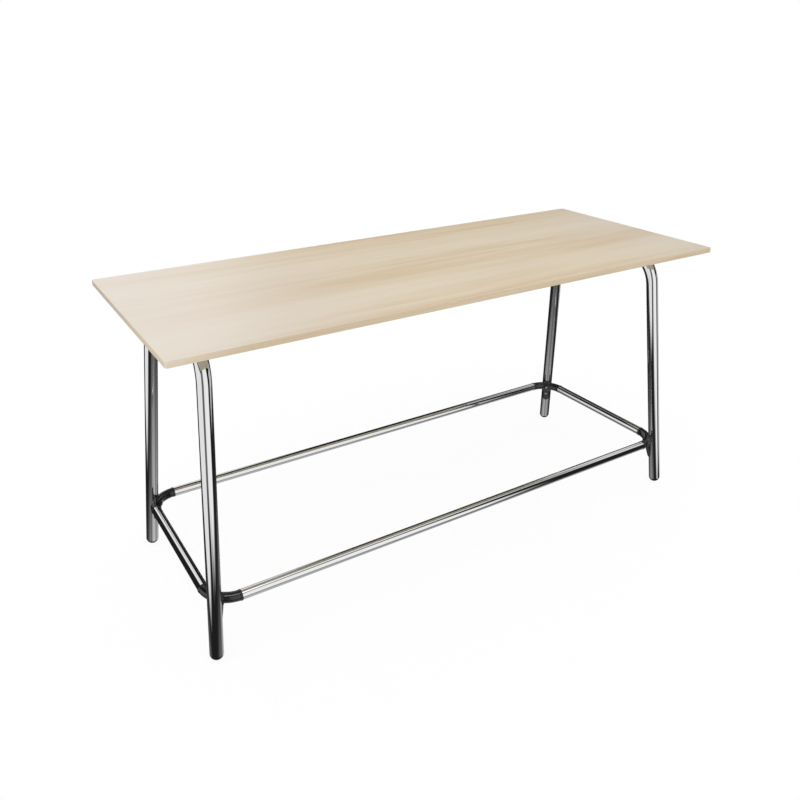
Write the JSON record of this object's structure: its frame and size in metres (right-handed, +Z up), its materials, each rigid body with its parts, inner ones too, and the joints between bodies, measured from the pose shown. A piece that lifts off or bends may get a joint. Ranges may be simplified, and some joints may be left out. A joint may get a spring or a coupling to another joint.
{
  "type": "standing meeting table",
  "caption": "Standing-height meeting table: thin wood-decor top on splayed bent chrome tube end frames, tied by a chrome footrest ring with black moulded corner connectors.",
  "frame": {"origin": "on the floor under the middle of the top", "axes": "+X along the length of the top, +Y towards the rear long side, +Z up"},
  "size_m": [2.1, 0.825, 1.053],
  "materials": {
    "laminate": "satin light wood decor with fine streaks along the length",
    "edging": "satin matching edge strip, a little darker than the top",
    "chrome": "polished chrome plate",
    "zinc": "bright zinc plate",
    "coated": "dark grey powder coat",
    "plastic": "black moulded nylon with a soft sheen"
  },
  "bodies": {
    "table": {"top_board": "laminate", "edge_band_front": "edging", "edge_band_rear": "edging", "edge_band_left": "edging", "edge_band_right": "edging", "end_frame_left": "chrome", "end_frame_right": "chrome", "mount_plate_front_left": "chrome", "mount_plate_rear_left": "chrome", "mount_plate_front_right": "chrome", "mount_plate_rear_right": "chrome", "stiffener_front": "coated", "stiffener_rear": "coated", "plate_screw_1": "zinc", "plate_screw_2": "zinc", "plate_screw_3": "zinc", "plate_screw_4": "zinc", "plate_screw_5": "zinc", "plate_screw_6": "zinc", "plate_screw_7": "zinc", "plate_screw_8": "zinc", "channel_screw_front_1": "zinc", "channel_screw_front_2": "zinc", "channel_screw_front_3": "zinc", "channel_screw_rear_1": "zinc", "channel_screw_rear_2": "zinc", "channel_screw_rear_3": "zinc", "footrest_tube_front": "chrome", "footrest_tube_rear": "chrome", "footrest_tube_left": "chrome", "footrest_tube_right": "chrome", "corner_connector_front_left": "plastic", "connector_screw_upper_front_left": "zinc", "connector_screw_lower_front_left": "zinc", "leg_insert_front_left": "plastic", "corner_connector_rear_left": "plastic", "connector_screw_upper_rear_left": "zinc", "connector_screw_lower_rear_left": "zinc", "leg_insert_rear_left": "plastic", "corner_connector_front_right": "plastic", "connector_screw_upper_front_right": "zinc", "connector_screw_lower_front_right": "zinc", "leg_insert_front_right": "plastic", "corner_connector_rear_right": "plastic", "connector_screw_upper_rear_right": "zinc", "connector_screw_lower_rear_right": "zinc", "leg_insert_rear_right": "plastic"},
    "foot_front_left": {"levelling_glide_front_left": "plastic", "levelling_stem_front_left": "zinc"},
    "foot_rear_left": {"levelling_glide_rear_left": "plastic", "levelling_stem_rear_left": "zinc"},
    "foot_front_right": {"levelling_glide_front_right": "plastic", "levelling_stem_front_right": "zinc"},
    "foot_rear_right": {"levelling_glide_rear_right": "plastic", "levelling_stem_rear_right": "zinc"}
  },
  "joints": [
    {"name": "level_front_left", "type": "slide", "parent": "table", "child": "foot_front_left", "axis": [-0.104, -0.104, -0.9891], "range_m": [0, 0.012]},
    {"name": "level_rear_left", "type": "slide", "parent": "table", "child": "foot_rear_left", "axis": [-0.104, 0.104, -0.9891], "range_m": [0, 0.012]},
    {"name": "level_front_right", "type": "slide", "parent": "table", "child": "foot_front_right", "axis": [0.104, -0.104, -0.9891], "range_m": [0, 0.012]},
    {"name": "level_rear_right", "type": "slide", "parent": "table", "child": "foot_rear_right", "axis": [0.104, 0.104, -0.9891], "range_m": [0, 0.012]}
  ]
}
